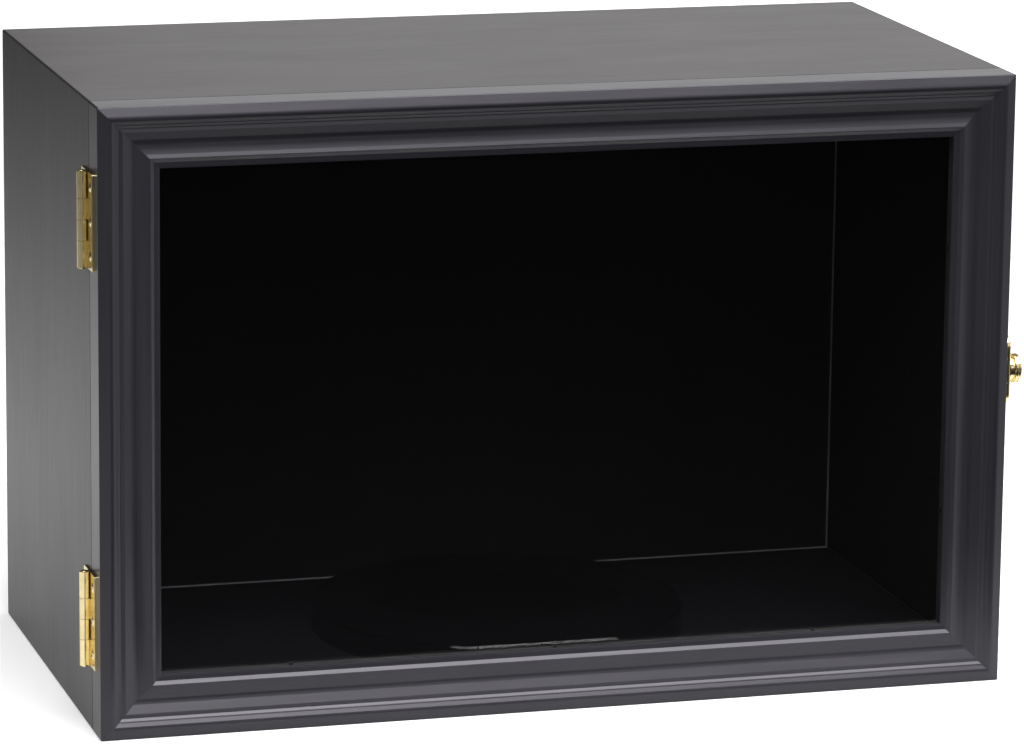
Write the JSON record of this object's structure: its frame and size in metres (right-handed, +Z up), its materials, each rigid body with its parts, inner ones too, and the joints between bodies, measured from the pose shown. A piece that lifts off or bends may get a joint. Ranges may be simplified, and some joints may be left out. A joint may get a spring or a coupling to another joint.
{
  "type": "football display case",
  "caption": "Black wooden display case with a glazed moulded door on brass hinges, a hook latch and a clear stand for a football.",
  "frame": {"origin": "centre of the underside, on the plane that the case rests on", "axes": "+X to the right along the long side, +Y to the back, +Z up; the door faces -Y"},
  "size_m": [0.3905, 0.2, 0.254],
  "materials": {
    "black_wood": "satin black paint",
    "black_moulding": "satin black paint",
    "black_hardboard": "matt black",
    "black_lining": "matt black faced board",
    "black_strip": "matt black",
    "clear_acrylic": "clear polished",
    "polished_brass": "polished",
    "steel_nails": "bright"
  },
  "bodies": {
    "cabinet": {"cabinet_top": "black_wood", "cabinet_bottom": "black_wood", "cabinet_left_side": "black_wood", "cabinet_right_side": "black_wood", "back_panel": "black_hardboard", "back_panel_brads": "steel_nails", "liner_top": "black_lining", "liner_bottom": "black_lining", "liner_left": "black_lining", "liner_right": "black_lining", "liner_back": "black_lining", "football_stand": "clear_acrylic", "upper_hinge_cabinet_leaf": "polished_brass", "lower_hinge_cabinet_leaf": "polished_brass", "upper_hinge_pin": "polished_brass", "lower_hinge_pin": "polished_brass", "cabinet_hinge_screws": "polished_brass", "keeper_plate": "polished_brass", "keeper_stud": "polished_brass", "keeper_screws": "polished_brass"},
    "door": {"door_top_rail": "black_moulding", "door_bottom_rail": "black_moulding", "door_left_stile": "black_moulding", "door_right_stile": "black_moulding", "door_pane": "clear_acrylic", "pane_strip_top": "black_strip", "pane_strip_bottom": "black_strip", "pane_strip_left": "black_strip", "pane_strip_right": "black_strip", "pane_strip_brads": "steel_nails", "mitre_v_nails": "steel_nails", "upper_hinge_door_leaf": "polished_brass", "lower_hinge_door_leaf": "polished_brass", "door_hinge_screws": "polished_brass", "latch_plate": "polished_brass", "latch_plate_screws": "polished_brass", "latch_pivot_screw": "polished_brass"},
    "latch": {"latch_hook": "polished_brass", "latch_knob": "polished_brass"}
  },
  "joints": [
    {"name": "door_hinge", "type": "hinge", "parent": "cabinet", "child": "door", "pos_m": [-0.192, -0.0821, 0.127], "axis": [0, 0, -1], "range_deg": [0, 180]},
    {"name": "latch_turn", "type": "hinge", "parent": "door", "child": "latch", "pos_m": [0.1924, -0.0912, 0.13056], "axis": [1, 0, 0], "range_deg": [0, 52]}
  ]
}
